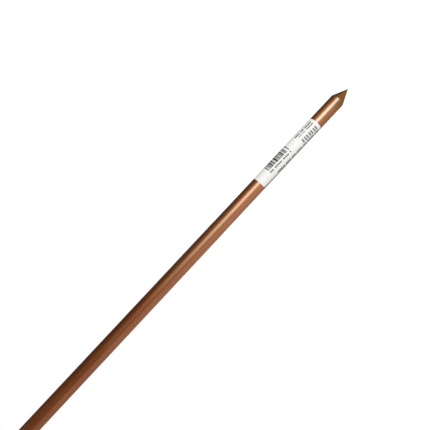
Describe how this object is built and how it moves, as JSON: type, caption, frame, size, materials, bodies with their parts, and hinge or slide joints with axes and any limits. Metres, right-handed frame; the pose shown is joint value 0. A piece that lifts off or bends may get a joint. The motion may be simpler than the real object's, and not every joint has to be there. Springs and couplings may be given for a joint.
{
  "type": "ground rod",
  "caption": "Straight round copper-bonded steel ground rod with a conical point and a wrapped paper label near the point; driven into soil to earth a pole or a substation.",
  "frame": {"origin": "middle of the flat face that is struck, at the end away from the point", "axes": "+Z along the rod's axis, out of the struck face; the point is at the -Z end, as the rod is driven; -Y is the side that the picture shows"},
  "size_m": [0.0143, 0.0143, 2.44],
  "materials": {
    "copper_skin": "satin",
    "label_paper": "matte"
  },
  "bodies": {
    "root": {"rod": "copper_skin", "label": "label_paper"}
  },
  "joints": []
}
